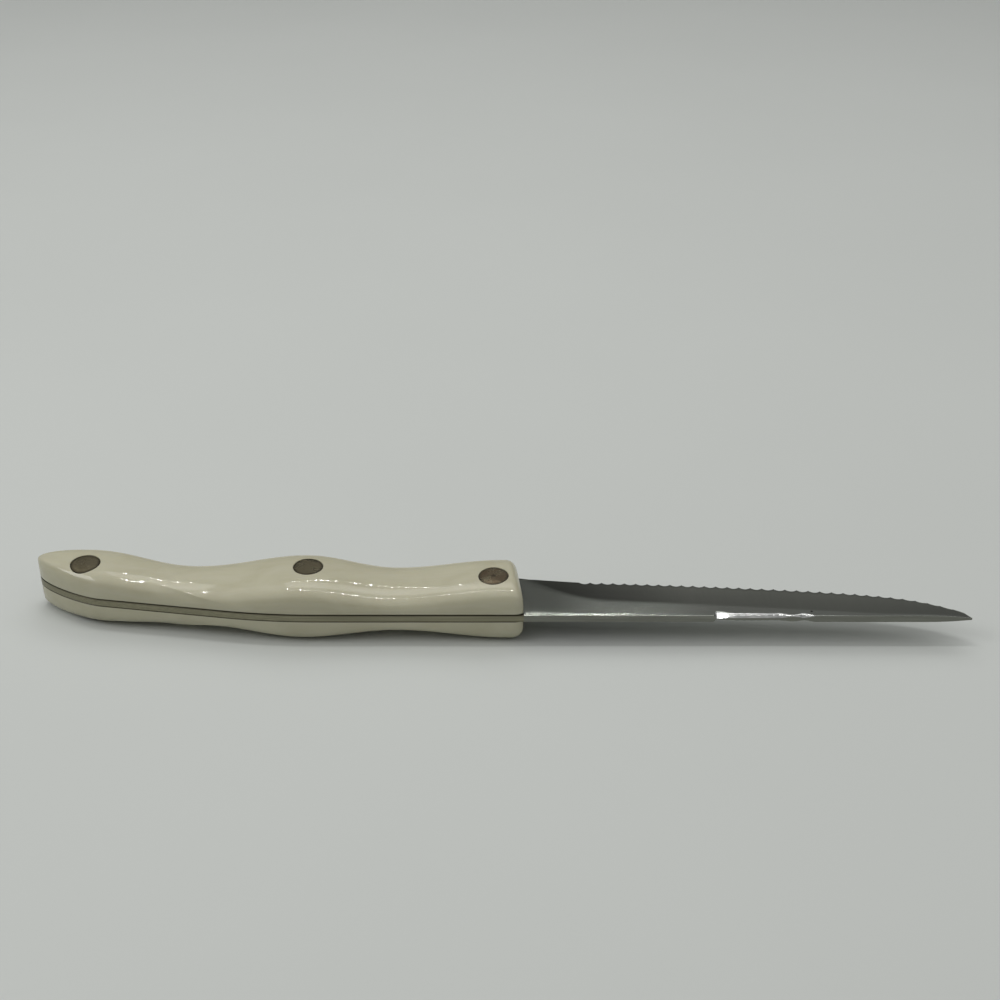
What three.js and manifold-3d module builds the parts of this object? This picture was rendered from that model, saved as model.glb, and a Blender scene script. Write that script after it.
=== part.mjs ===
// Kitchen utility knife: a full-tang steel blade with a scalloped edge, two moulded
// resin handle scales and three two-piece cutler's rivets.  Millimetres, +X to the tip,
// +Y to the cutting edge, +Z out of the left side, lying on its right side.
import * as THREE from 'three';
import { mergeVertices } from 'three/addons/utils/BufferGeometryUtils.js';
import Module from 'manifold-3d';

// Steel: blade and tang are one flat piece of this thickness.
const STEEL_THICKNESS = 2;
const BLADE_LENGTH = 118.3;
const HEEL_HEIGHT = 17.65;
const POINT_HEIGHT = 0.4;
const TIP_THICKNESS = 0.6;
const EDGE_THICKNESS = 0.2;

// Cutting edge: it rises slowly towards the spine, then sweeps up to the tip, where the
// last of its height is rounded off to the point.
const EDGE_RISE = 8.9;
const EDGE_BOW = 1.65;
const TIP_SWEEP_LENGTH = 68;
const TIP_SWEEP_BOW = 6.2;
const TIP_HEIGHT = 1.8;
const POINT_LENGTH = 1.2;

// Scallops: a plain stretch at the heel, then teeth of even pitch almost to the tip.
const PLAIN_HEEL_LENGTH = 15.3;
const PLAIN_TIP_LENGTH = 3;
const TOOTH_PITCH = 3.1;
const SCALLOP_DEPTH = 0.7;
const STEPS_PER_TOOTH = 4;
const PLAIN_STEPS = 5;
const POINT_STEPS = 3;

// Hollow grind: its border starts just ahead of the handle, dives towards the spine and
// meets it a little short of the tip.  The grind gains its full depth over the fade.
const GRIND_START = 1.5;
const GRIND_FADE = 16;
const GRIND_DIVE_LENGTH = 21;
const GRIND_DIVE = 8.4;
const GRIND_BORDER_HEIGHT = 9.6;
const GRIND_END = 12;
const HOLLOW_DEPTH = 0.12;
// Least share of the blade's height that the grind's border leaves at spine and edge.
const BORDER_MARGIN = 0.1;

// Handle, as a chain of lengths from its front edge to the butt.
const FRONT_ROUND_LENGTH = 3;
const ROUND_TO_LAND = 1;
const LAND_TO_THUMB_WAIST = 30;
const THUMB_WAIST_TO_PALM = 25;
const PALM_TO_FINGER_WAIST = 30;
const FINGER_WAIST_TO_BUTT_SWELL = 29.2;
const BUTT_SWELL_TO_END = 14.3;
// On the spine side the finger waist lies nearer the blade, and the butt starts to round
// off ahead of its swell, by this much.
const FINGER_WAIST_SKEW = 7.5;
const BUTT_SPINE_LEAD = 2.2;

// Spine line of the handle: straight, then bent towards the edge side.
const SPINE_STRAIGHT = 55;
const SPINE_BEND = 25;
const SPINE_DROOP_ANGLE = THREE.MathUtils.degToRad(9.1);

// Belly line of the handle, measured from the blade's spine.  Its front corner is rounded
// down to the heel of the blade.
const FRONT_BELLY = 19.3;
const THUMB_WAIST_BELLY = 19.4;
const PALM_BELLY = 21.9;
const FINGER_WAIST_BELLY = 19.8;
const BUTT_BELLY = 24.8;
const BUTT_END_LEVEL = 19.4;
const BUTT_END_HALF_HEIGHT = 0.4;

// Thickness of one scale above the tang.
const SWELL_THICKNESS = 7.3;
const THUMB_WAIST_THICKNESS = 5;
const FINGER_WAIST_THICKNESS = 5;
const BUTT_THICKNESS = 6.9;
const BUTT_END_THICKNESS = 5.1;
// The swells are buffed flat where the knife lies on its side.
const REST_FLAT_CUT = 0.1;

// Roundness: powers of the curves for the section, squarer at the swells than at the
// waists, for the butt's outline on its spine and belly sides and for its thickness, and
// how far the rounded front edge draws in.
const SWELL_SECTION_POWER = 3.8;
const WAIST_SECTION_POWER = 2.9;
const BUTT_SPINE_POWER = 1.4;
const BUTT_BELLY_POWER = 2.1;
const BUTT_SIDE_POWER = 2.5;
const FRONT_LEAN_ANGLE = THREE.MathUtils.degToRad(6.5);
const FRONT_ROUND_DROP = 3.1;
const FRONT_CORNER_INSET = 1.1;

// Ridge that runs from the butt swell forward and down to the spine, on one row of points.
const RIDGE_HEIGHT = 0.5;
const RIDGE_HALF_LENGTH = 15;
const RIDGE_FRONT_ANGLE = THREE.MathUtils.degToRad(10);
const RIDGE_REAR_ANGLE = THREE.MathUtils.degToRad(50);
const SHOULDER_ANGLE = THREE.MathUtils.degToRad(40);

// Fineness of the handle's surface: points over a section, and sections along it.
const RIDGE_ROW = 5;
const SECTION_STEPS = 15;
const FRONT_STEPS = 4;
const BUTT_STEPS = 8;
const STATION_SPACING = 3.5;

// Rivets: flush heads seated in counterbores, a pin inside a tubular socket.
const HEAD_DIAMETER = 7.9;
const HEAD_DEPTH = 3;
const SOCKET_DIAMETER = 5;
const PIN_DIAMETER = 3;
const FIT_GAP = 0.3;
const END_GAP = 1;
const FRONT_RIVET_BACK = 7.3;
const PALM_RIVET_LEAD = 1.2;
const FRONT_RIVET_INSET = 8.2;
const PALM_RIVET_INSET = 12.6;
const BUTT_RIVET_INSET = 6.8;
const ROUND_SEGMENTS = 28;

// Distances of the handle's stations behind its front edge.
const landBack = FRONT_ROUND_LENGTH + ROUND_TO_LAND;
const thumbWaistBack = landBack + LAND_TO_THUMB_WAIST;
const palmBack = thumbWaistBack + THUMB_WAIST_TO_PALM;
const fingerWaistBack = palmBack + PALM_TO_FINGER_WAIST;
const buttSwellBack = fingerWaistBack + FINGER_WAIST_TO_BUTT_SWELL;
const handleLength = buttSwellBack + BUTT_SWELL_TO_END;
const halfSteel = STEEL_THICKNESS / 2;
const crestThickness = SWELL_THICKNESS + REST_FLAT_CUT;

const wasm = await Module();
wasm.setup();

// Value that passes smoothly through stops [place, value], level at each of them.
function throughStops(place, stops) {
  let value = stops[0][1];
  for (let i = 0; i + 1 < stops.length; i += 1) {
    const [from, start] = stops[i];
    const [to, end] = stops[i + 1];
    if (place > from) {
      const share = Math.min(1, (place - from) / (to - from));
      value = start + (end - start) * (1 - Math.cos(Math.PI * share)) / 2;
    }
  }
  return value;
}

// Height left of a rounded end: 1 at share 0, falling to 0 at share 1.
function roundOff(share, power) {
  return Math.pow(Math.max(0, 1 - Math.pow(share, power)), 1 / power);
}

function spineLine(back) {
  const bent = Math.max(0, back - SPINE_STRAIGHT);
  const slope = Math.tan(SPINE_DROOP_ANGLE);
  if (bent < SPINE_BEND) {
    return slope * bent * bent / (2 * SPINE_BEND);
  }
  return slope * (bent - SPINE_BEND / 2);
}

function bellyLine(back) {
  return throughStops(back, [
    [landBack, FRONT_BELLY],
    [thumbWaistBack, THUMB_WAIST_BELLY],
    [palmBack, PALM_BELLY],
    [fingerWaistBack, FINGER_WAIST_BELLY],
    [buttSwellBack, BUTT_BELLY],
  ]);
}

// Share of the way to the butt's end from its swell, or from a lead ahead of the swell.
function buttShare(back, lead) {
  return Math.max(0, (back - buttSwellBack + lead) / (BUTT_SWELL_TO_END + lead));
}

// Middle level and half height of the handle's outline at a distance behind the front.
function outlineAt(back) {
  const spineLeft = roundOff(buttShare(back, BUTT_SPINE_LEAD), BUTT_SPINE_POWER);
  const bellyLeft = roundOff(buttShare(back, 0), BUTT_BELLY_POWER);
  const spineEnd = BUTT_END_LEVEL - BUTT_END_HALF_HEIGHT;
  const bellyEnd = BUTT_END_LEVEL + BUTT_END_HALF_HEIGHT;
  const spine = spineEnd + (spineLine(back) - spineEnd) * spineLeft;
  const belly = bellyEnd + (bellyLine(back) - bellyEnd) * bellyLeft;
  return { middle: (spine + belly) / 2, half: (belly - spine) / 2 };
}

// The front of the handle leans back towards the belly; the lean fades at the waist.
function alongHandle(back, level) {
  const fade = Math.max(0, 1 - back / thumbWaistBack);
  return -back - Math.tan(FRONT_LEAN_ANGLE) * level * fade;
}

// How much of the front edge's rounding is still to come: 1 at the edge, 0 behind it.
function frontRounding(back) {
  const share = Math.max(0, 1 - back / FRONT_ROUND_LENGTH);
  return 1 - roundOff(share, 2);
}

// Thickness of a scale on its spine side and on its belly side.
function sideThickness(back, skew) {
  const full = throughStops(back, [
    [landBack, crestThickness],
    [thumbWaistBack, THUMB_WAIST_THICKNESS],
    [palmBack, crestThickness],
    [fingerWaistBack - skew, FINGER_WAIST_THICKNESS],
    [buttSwellBack, BUTT_THICKNESS],
  ]);
  const left = roundOff(buttShare(back, 0), BUTT_SIDE_POWER);
  const ended = BUTT_END_THICKNESS + (full - BUTT_END_THICKNESS) * left;
  return ended - FRONT_ROUND_DROP * frontRounding(back);
}

function sectionPower(back) {
  return throughStops(back, [
    [landBack, SWELL_SECTION_POWER],
    [thumbWaistBack, WAIST_SECTION_POWER],
    [palmBack, SWELL_SECTION_POWER],
    [fingerWaistBack, WAIST_SECTION_POWER],
    [buttSwellBack, SWELL_SECTION_POWER],
  ]);
}

// Height of the left scale's surface at a place across its section, -1 spine to 1 belly.
function surfaceHeight(back, across) {
  const spineSide = sideThickness(back, FINGER_WAIST_SKEW);
  const bellySide = sideThickness(back, 0);
  const thickness = spineSide + (bellySide - spineSide) * (1 + across) / 2;
  const round = roundOff(Math.abs(across), sectionPower(back));
  return halfSteel + Math.min(SWELL_THICKNESS, thickness * round);
}

// Angle of the ridge row around the section: on the shoulder, then along the ridge.
function ridgeAngle(back) {
  return throughStops(back, [
    [palmBack, SHOULDER_ANGLE],
    [fingerWaistBack - RIDGE_HALF_LENGTH, RIDGE_FRONT_ANGLE],
    [fingerWaistBack + RIDGE_HALF_LENGTH, RIDGE_REAR_ANGLE],
    [buttSwellBack, SHOULDER_ANGLE],
  ]);
}

function ridgeHeight(back) {
  return throughStops(back, [
    [fingerWaistBack - RIDGE_HALF_LENGTH, 0],
    [fingerWaistBack, RIDGE_HEIGHT],
    [fingerWaistBack + RIDGE_HALF_LENGTH, 0],
  ]);
}

// Closed ring of the left scale's section: over the outside, back along the tang face.
function scaleRing(back) {
  const outline = outlineAt(back);
  const half = outline.half - FRONT_CORNER_INSET * frontRounding(back);
  const ridge = ridgeAngle(back);
  const ring = [];
  for (let step = 0; step <= SECTION_STEPS; step += 1) {
    let angle = ridge * step / RIDGE_ROW;
    if (step > RIDGE_ROW) {
      angle = ridge + (Math.PI - ridge) * (step - RIDGE_ROW) / (SECTION_STEPS - RIDGE_ROW);
    }
    const across = -Math.cos(angle);
    const level = outline.middle + half * across;
    let height = surfaceHeight(back, across);
    if (step === RIDGE_ROW) {
      height += ridgeHeight(back);
    }
    ring.push(new THREE.Vector3(alongHandle(back, level), level, height));
  }
  return ring;
}

// Places along the handle where sections stand, from the butt's end to the front edge.
function handleStations() {
  const stops = [
    FRONT_ROUND_LENGTH,
    landBack,
    thumbWaistBack,
    palmBack,
    fingerWaistBack,
    buttSwellBack,
  ];
  const places = [];
  for (let step = 0; step < FRONT_STEPS; step += 1) {
    places.push(FRONT_ROUND_LENGTH * (1 - Math.cos(Math.PI / 2 * step / FRONT_STEPS)));
  }
  for (let stop = 0; stop + 1 < stops.length; stop += 1) {
    const span = stops[stop + 1] - stops[stop];
    const steps = Math.ceil(span / STATION_SPACING);
    for (let step = 0; step < steps; step += 1) {
      places.push(stops[stop] + span * step / steps);
    }
  }
  for (let step = 0; step <= BUTT_STEPS; step += 1) {
    places.push(buttSwellBack + BUTT_SWELL_TO_END * Math.sin(Math.PI / 2 * step / BUTT_STEPS));
  }
  return places.reverse();
}

// Solid through a row of closed rings with equal numbers of points, capped at both ends.
function loft(rings) {
  const count = rings[0].length;
  const positions = [];
  const triangles = [];
  for (const ring of rings) {
    for (const point of ring) {
      positions.push(point.x, point.y, point.z);
    }
  }
  for (let row = 0; row + 1 < rings.length; row += 1) {
    for (let k = 0; k < count; k += 1) {
      const next = (k + 1) % count;
      const a = row * count + k;
      const b = row * count + next;
      const c = (row + 1) * count + next;
      const d = (row + 1) * count + k;
      triangles.push(a, d, c, a, c, b);
    }
  }
  const last = (rings.length - 1) * count;
  for (let k = 1; k + 1 < count; k += 1) {
    triangles.push(0, k, k + 1);
    triangles.push(last, last + k + 1, last + k);
  }
  const geometry = new THREE.BufferGeometry();
  geometry.setAttribute('position', new THREE.Float32BufferAttribute(positions, 3));
  geometry.setIndex(triangles);
  return geometry;
}

function solidOf(geometry) {
  const bare = geometry.clone();
  bare.deleteAttribute('normal');
  bare.deleteAttribute('uv');
  const welded = mergeVertices(bare, 1e-4);
  return new wasm.Manifold(new wasm.Mesh({
    numProp: 3,
    vertProperties: new Float32Array(welded.attributes.position.array),
    triVerts: new Uint32Array(welded.index.array),
  }));
}

function geometryOf(solid) {
  const mesh = solid.getMesh();
  const geometry = new THREE.BufferGeometry();
  geometry.setAttribute('position', new THREE.Float32BufferAttribute(mesh.vertProperties, 3));
  geometry.setIndex(Array.from(mesh.triVerts));
  return geometry;
}

// The same shape on the other side of the tang, with its faces turned outwards again.
function otherSide(geometry) {
  const turned = geometry.clone();
  turned.scale(1, 1, -1);
  const index = turned.index.array;
  for (let k = 0; k < index.length; k += 3) {
    const kept = index[k + 1];
    index[k + 1] = index[k + 2];
    index[k + 2] = kept;
  }
  return turned;
}

// Upright round bar between two heights.
function roundBar(place, diameter, from, to) {
  const radius = diameter / 2;
  const bar = new THREE.CylinderGeometry(radius, radius, to - from, ROUND_SEGMENTS);
  bar.rotateX(Math.PI / 2);
  bar.translate(place.x, place.y, (from + to) / 2);
  return solidOf(bar);
}

// Place of a rivet, and the height of its head's seat on either side of the tang.
function rivetPlace(back, inset) {
  const outline = outlineAt(back);
  const level = spineLine(back) + inset;
  const across = (level - outline.middle) / outline.half;
  const seat = surfaceHeight(back, across) - HEAD_DEPTH;
  return { x: alongHandle(back, level), y: level, seat };
}

// Height of the cutting edge's tooth tips from the spine.
function edgeHeight(along) {
  const rise = EDGE_RISE * Math.pow(along / BLADE_LENGTH, EDGE_BOW);
  const sweepShare = Math.max(0, (along - BLADE_LENGTH) / TIP_SWEEP_LENGTH + 1);
  const sweep = HEEL_HEIGHT - EDGE_RISE - TIP_HEIGHT;
  const curve = HEEL_HEIGHT - rise - sweep * Math.pow(sweepShare, TIP_SWEEP_BOW);
  const pointShare = Math.max(0, (along - BLADE_LENGTH) / POINT_LENGTH + 1);
  return POINT_HEIGHT + (curve - POINT_HEIGHT) * roundOff(pointShare, 2);
}

// Border between the flat of the blade and its hollow grind, measured from the spine.
function grindBorder(along, edge) {
  const reach = BLADE_LENGTH - GRIND_END;
  const line = GRIND_BORDER_HEIGHT * (1 - along / reach);
  const diveShare = Math.max(0, 1 - (along - GRIND_START) / GRIND_DIVE_LENGTH);
  const border = line + GRIND_DIVE * diveShare * diveShare;
  return THREE.MathUtils.clamp(border, edge * BORDER_MARGIN, edge * (1 - BORDER_MARGIN));
}

// Closed ring of the blade's section: left face from spine to edge, right face back.
function bladeRing(along, scallop) {
  const edge = edgeHeight(along);
  const cut = edge - scallop;
  const border = grindBorder(along, edge);
  const ground = THREE.MathUtils.clamp((along - GRIND_START) / GRIND_FADE, 0, 1);
  const tipShare = Math.max(0, (along - BLADE_LENGTH + GRIND_END) / GRIND_END);
  const spineHalf = halfSteel + (TIP_THICKNESS / 2 - halfSteel) * tipShare * tipShare;
  const edgeHalf = halfSteel + (EDGE_THICKNESS / 2 - halfSteel) * ground;
  const middle = (border + cut) / 2;
  const middleHalf = (spineHalf + edgeHalf) / 2 - HOLLOW_DEPTH * ground * (1 - tipShare);
  const face = [[0, spineHalf], [border, spineHalf], [middle, middleHalf], [cut, edgeHalf]];
  return steelRing(along, face);
}

function steelRing(along, face) {
  const left = face.map(([level, half]) => new THREE.Vector3(along, level, half));
  const right = face.map(([level, half]) => new THREE.Vector3(along, level, -half));
  return [...left, ...right.reverse()];
}

// Closed ring of the tang's section, flush with the scales' outline, their rounded front
// corner on the belly side too.
function tangRing(back) {
  const outline = outlineAt(back);
  const spine = outline.middle - outline.half;
  const height = 2 * outline.half - FRONT_CORNER_INSET * frontRounding(back);
  const ring = steelRing(0, [0, 1 / 3, 2 / 3, 1].map((share) => [spine + height * share, halfSteel]));
  for (const point of ring) {
    point.x = alongHandle(back, point.y);
  }
  return ring;
}

function bladeRings() {
  const rings = [];
  for (let step = 0; step < PLAIN_STEPS; step += 1) {
    const share = step / PLAIN_STEPS;
    rings.push(bladeRing(GRIND_START + (PLAIN_HEEL_LENGTH - GRIND_START) * share, 0));
  }
  const toothed = BLADE_LENGTH - PLAIN_HEEL_LENGTH - PLAIN_TIP_LENGTH;
  const teeth = Math.floor(toothed / TOOTH_PITCH);
  for (let tooth = 0; tooth < teeth; tooth += 1) {
    for (let step = 0; step < STEPS_PER_TOOTH; step += 1) {
      const share = step / STEPS_PER_TOOTH;
      const along = PLAIN_HEEL_LENGTH + (tooth + share) * TOOTH_PITCH;
      rings.push(bladeRing(along, SCALLOP_DEPTH * 4 * share * (1 - share)));
    }
  }
  const lastTooth = PLAIN_HEEL_LENGTH + teeth * TOOTH_PITCH;
  const pointStart = BLADE_LENGTH - POINT_LENGTH;
  rings.push(bladeRing(lastTooth, 0));
  rings.push(bladeRing((lastTooth + pointStart) / 2, 0));
  for (let step = 0; step <= POINT_STEPS; step += 1) {
    const turn = Math.PI / 2 * step / POINT_STEPS;
    rings.push(bladeRing(pointStart + POINT_LENGTH * Math.sin(turn), 0));
  }
  return rings;
}

// Bare shapes before the rivet holes are cut.
const stations = handleStations();
const envelope = solidOf(loft(stations.map(scaleRing)));
let leftScale = envelope;
let steel = solidOf(loft([...stations.map(tangRing), ...bladeRings()]));

const rivets = [
  ['front', rivetPlace(FRONT_RIVET_BACK, FRONT_RIVET_INSET)],
  ['middle', rivetPlace(palmBack - PALM_RIVET_LEAD, PALM_RIVET_INSET)],
  ['rear', rivetPlace(buttSwellBack, BUTT_RIVET_INSET)],
];
const beyond = halfSteel + crestThickness + END_GAP;
const holeDiameter = SOCKET_DIAMETER + 2 * FIT_GAP;
const boreDiameter = PIN_DIAMETER + 2 * FIT_GAP;
const pieces = [];

// Rivets: each head is trimmed flush with the scale; the socket half is on the left.
for (const [name, place] of rivets) {
  const seat = place.seat;
  const head = roundBar(place, HEAD_DIAMETER, seat, beyond).intersect(envelope);
  const tube = roundBar(place, SOCKET_DIAMETER, END_GAP - seat, seat + END_GAP);
  const bore = roundBar(place, boreDiameter, -seat, seat);
  const shank = roundBar(place, PIN_DIAMETER, END_GAP - seat, seat + END_GAP);
  pieces.push([`${name}_rivet_socket`, geometryOf(head.add(tube).subtract(bore)), 'rivet']);
  pieces.push([`${name}_rivet_pin`, otherSide(geometryOf(head.add(shank))), 'rivet']);
  const counterbore = roundBar(place, HEAD_DIAMETER + 2 * FIT_GAP, seat, beyond);
  const hole = roundBar(place, holeDiameter, -beyond, beyond);
  leftScale = leftScale.subtract(counterbore).subtract(hole);
  steel = steel.subtract(hole);
}

const scaleShape = geometryOf(leftScale);
pieces.unshift(['right_scale', otherSide(scaleShape), 'resin']);
pieces.unshift(['left_scale', scaleShape, 'resin']);
pieces.unshift(['blade_with_tang', geometryOf(steel), 'steel']);

const finishes = {
  steel: { color: 0xa9abab, roughness: 0.3, metalness: 1 },
  resin: { color: 0xe4dec6, roughness: 0.25, metalness: 0 },
  rivet: { color: 0x8f8a74, roughness: 0.4, metalness: 1 },
};

// Assembly, moved so that the middle of its footprint is the origin.
const knife = new THREE.Group();
knife.name = 'kitchen_utility_knife';
const box = new THREE.Box3();
for (const [, geometry] of pieces) {
  geometry.computeBoundingBox();
  box.union(geometry.boundingBox);
}
const centre = box.getCenter(new THREE.Vector3());
for (const [name, geometry, finish] of pieces) {
  geometry.translate(-centre.x, -centre.y, -box.min.z);
  geometry.computeVertexNormals();
  const mesh = new THREE.Mesh(geometry, new THREE.MeshStandardMaterial(finishes[finish]));
  mesh.name = name;
  knife.add(mesh);
}

export default knife;
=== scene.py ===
# Kitchen utility knife lying on its right side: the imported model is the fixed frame.
import math

import bmesh
import bpy
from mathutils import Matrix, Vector


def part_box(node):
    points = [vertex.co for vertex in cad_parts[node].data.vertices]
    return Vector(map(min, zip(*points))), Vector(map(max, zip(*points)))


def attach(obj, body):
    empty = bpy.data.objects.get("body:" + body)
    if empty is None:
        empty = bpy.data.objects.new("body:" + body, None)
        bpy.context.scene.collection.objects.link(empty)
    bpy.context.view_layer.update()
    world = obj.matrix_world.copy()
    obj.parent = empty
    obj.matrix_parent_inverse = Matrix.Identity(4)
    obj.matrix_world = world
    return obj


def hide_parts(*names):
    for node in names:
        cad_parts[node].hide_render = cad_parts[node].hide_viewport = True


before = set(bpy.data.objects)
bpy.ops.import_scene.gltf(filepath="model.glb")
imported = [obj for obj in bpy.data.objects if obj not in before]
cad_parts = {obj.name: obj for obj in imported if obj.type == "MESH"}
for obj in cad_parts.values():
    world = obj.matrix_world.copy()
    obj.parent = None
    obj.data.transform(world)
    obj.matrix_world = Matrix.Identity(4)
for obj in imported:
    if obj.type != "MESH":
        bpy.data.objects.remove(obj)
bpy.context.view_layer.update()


# Blade and tang
# One flat piece of stainless steel.  The blade is hollow ground on both faces, its edge is
# ground in scallops, and the tang behind it fills the whole outline of the handle.
# Sizes are millimetres: along the knife from the handle's front to the tip, level from the
# spine to the edge, height from the middle of the steel out to the left side.
MILLIMETRE = 0.001
STEEL_THICKNESS = 2.0
BLADE_LENGTH = 118.3
HEEL_HEIGHT = 17.65
POINT_HEIGHT = 0.4
TIP_THICKNESS = 0.6

EDGE_RISE = 8.9
EDGE_BOW = 1.65
TIP_SWEEP_LENGTH = 68.0
TIP_SWEEP_BOW = 6.2
TIP_HEIGHT = 1.8
POINT_LENGTH = 1.6
POINT_POWER = 1.4
PLAIN_HEEL_LENGTH = 15.3
PLAIN_TIP_LENGTH = 3.0
TOOTH_PITCH = 3.1
SCALLOP_DEPTHS = [(85, 0.7), (114, 0.3)]

GRIND_START = 1.5
GRIND_FADE = 16.0
GRIND_DIVE_LENGTH = 21.0
GRIND_DIVE = 8.4
GRIND_BORDER_HEIGHT = 9.6
GRIND_END = 12.0
GROUND_EDGE_THICKNESS = 0.2
HOLLOW_DEPTH = 0.12
BORDER_MARGIN = 0.1
BORDER_CRISPNESS = 0.1
SHARP_BEVEL = 0.45
SHARP_THICKNESS = 0.05

HEEL_ROUND = 0.4
SPINE_CORNERS = [(80, 0.15), (90, 0.05)]
TANG_CORNER = 0.15
WORN_FROM = 50.2
WORN_TO = 77.0
WORN_FADE = 0.4
WORN_STRAIGHT_TO = 52.8
WORN_HOLLOW_FROM = 56.0
WORN_WIDTHS = [(52, 1.8), (54, 1.3), (62, 1.3), (67, 1.4), (71, 0.5), (74, 1.3), (77, 0.3)]
WORN_SLOPE = 0.46
WORN_RAGGED = 0.05
WORN_RAGGED_WAVES = (3.1, 7.3)

CORNER_STEPS = 6
FLAT_STEPS = 6
HOLLOW_STEPS = 12
PLAIN_STEP = 0.5
STEPS_PER_TOOTH = 10

HANDLE_LAND = 4.0
HANDLE_THUMB_WAIST = 34.0
HANDLE_PALM = 59.0
HANDLE_FINGER_WAIST = 89.0
HANDLE_BUTT_SWELL = 118.2
HANDLE_LENGTH = 132.5
HANDLE_STEP = 0.8
FRONT_ROUND_LENGTH = 3.0
FRONT_CORNER_INSET = 1.1
FRONT_ROUND_STEPS = 10
POINT_STEPS = 8
BUTT_STEPS = 26

SPINE_STRAIGHT = 55.0
SPINE_BEND = 25.0
SPINE_DROOP = math.tan(math.radians(9.1))
FRONT_LEAN = math.tan(math.radians(6.5))
FRONT_BELLY = 19.3
THUMB_WAIST_BELLY = 19.4
PALM_BELLY = 21.9
FINGER_WAIST_BELLY = 19.8
BUTT_BELLY = 24.8
BUTT_END_LEVEL = 19.9
BUTT_END_HALF_HEIGHT = 0.3
BUTT_SPINE_LEAD = 4.6
BUTT_SPINE_POWER = 1.62
BUTT_BELLY_POWER = 2.1

RIVET_HOLE_DIAMETER = 5.6
RIVET_BACKS = {"front": 7.3, "middle": 57.8, "rear": 118.2}
RIVET_INSETS = {"front": 8.2, "middle": 12.6, "rear": 6.8}
ROUND_SEGMENTS = 64

half_steel = STEEL_THICKNESS / 2
steel_low, steel_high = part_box("blade_with_tang")
HANDLE_FRONT_X = steel_high.x - BLADE_LENGTH * MILLIMETRE
SPINE_Y = steel_low.y
STEEL_MIDDLE_Z = (steel_low.z + steel_high.z) / 2


def in_frame(along, level, height):
    """Place in the frame, in metres, of a point measured on the knife in millimetres."""
    return Vector((
        HANDLE_FRONT_X + along * MILLIMETRE,
        SPINE_Y + level * MILLIMETRE,
        STEEL_MIDDLE_Z + height * MILLIMETRE,
    ))


def through_stops(place, stops):
    """Value that passes smoothly through (place, value) stops and is level at each."""
    value = stops[0][1]
    for (start, low), (end, high) in zip(stops, stops[1:]):
        if place > start:
            share = min(1, (place - start) / (end - start))
            value = low + (high - low) * (1 - math.cos(math.pi * share)) / 2
    return value


def round_off(share, power):
    """Height left of a rounded end: 1 at share 0, falling to 0 at share 1."""
    return max(0, 1 - share ** power) ** (1 / power)


def between(low, high, share):
    return low + (high - low) * share


def spine_line(back):
    bent = max(0, back - SPINE_STRAIGHT)
    if bent < SPINE_BEND:
        return SPINE_DROOP * bent * bent / (2 * SPINE_BEND)
    return SPINE_DROOP * (bent - SPINE_BEND / 2)


def belly_line(back):
    return through_stops(back, [
        (HANDLE_LAND, FRONT_BELLY),
        (HANDLE_THUMB_WAIST, THUMB_WAIST_BELLY),
        (HANDLE_PALM, PALM_BELLY),
        (HANDLE_FINGER_WAIST, FINGER_WAIST_BELLY),
        (HANDLE_BUTT_SWELL, BUTT_BELLY),
    ])


def butt_share(back, lead):
    """Share of the way to the butt's end from its swell, or from a lead ahead of it."""
    start = HANDLE_BUTT_SWELL - lead
    return max(0, (back - start) / (HANDLE_LENGTH - start))


def handle_outline(back):
    """Middle level and half height of the handle at a distance behind its front."""
    spine_left = round_off(butt_share(back, BUTT_SPINE_LEAD), BUTT_SPINE_POWER)
    belly_left = round_off(butt_share(back, 0), BUTT_BELLY_POWER)
    spine = between(BUTT_END_LEVEL - BUTT_END_HALF_HEIGHT, spine_line(back), spine_left)
    belly = between(BUTT_END_LEVEL + BUTT_END_HALF_HEIGHT, belly_line(back), belly_left)
    return (spine + belly) / 2, (belly - spine) / 2


def along_handle(back, level):
    """The front of the handle leans back towards the belly; the lean fades at the waist."""
    return -back - FRONT_LEAN * level * max(0, 1 - back / HANDLE_THUMB_WAIST)


def front_rounding(back):
    """How much of the front edge's rounding is still to come: 1 at the edge, 0 behind."""
    return 1 - round_off(max(0, 1 - back / FRONT_ROUND_LENGTH), 2)


def handle_stations():
    """Distances behind the handle's front, close together where its ends are rounded."""
    stations = []
    for step in range(FRONT_ROUND_STEPS):
        turn = math.pi / 2 * step / FRONT_ROUND_STEPS
        stations.append(FRONT_ROUND_LENGTH * (1 - math.cos(turn)))
    straight = HANDLE_BUTT_SWELL - FRONT_ROUND_LENGTH
    straight_steps = round(straight / HANDLE_STEP)
    for step in range(straight_steps):
        stations.append(FRONT_ROUND_LENGTH + straight * step / straight_steps)
    for step in range(BUTT_STEPS + 1):
        turn = math.pi / 2 * step / BUTT_STEPS
        stations.append(between(HANDLE_BUTT_SWELL, HANDLE_LENGTH, math.sin(turn)))
    return stations


def edge_height(along):
    rise = EDGE_RISE * (along / BLADE_LENGTH) ** EDGE_BOW
    sweep_share = max(0, (along - BLADE_LENGTH) / TIP_SWEEP_LENGTH + 1)
    sweep = HEEL_HEIGHT - EDGE_RISE - TIP_HEIGHT
    curve = HEEL_HEIGHT - rise - sweep * sweep_share ** TIP_SWEEP_BOW
    point_share = max(0, (along - BLADE_LENGTH) / POINT_LENGTH + 1)
    return between(POINT_HEIGHT, curve, round_off(point_share, POINT_POWER))


def grind_border(along):
    edge = edge_height(along)
    line = GRIND_BORDER_HEIGHT * (1 - along / (BLADE_LENGTH - GRIND_END))
    dive_share = max(0, 1 - (along - GRIND_START) / GRIND_DIVE_LENGTH)
    border = line + GRIND_DIVE * dive_share * dive_share
    return min(max(border, edge * BORDER_MARGIN), edge * (1 - BORDER_MARGIN))


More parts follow.
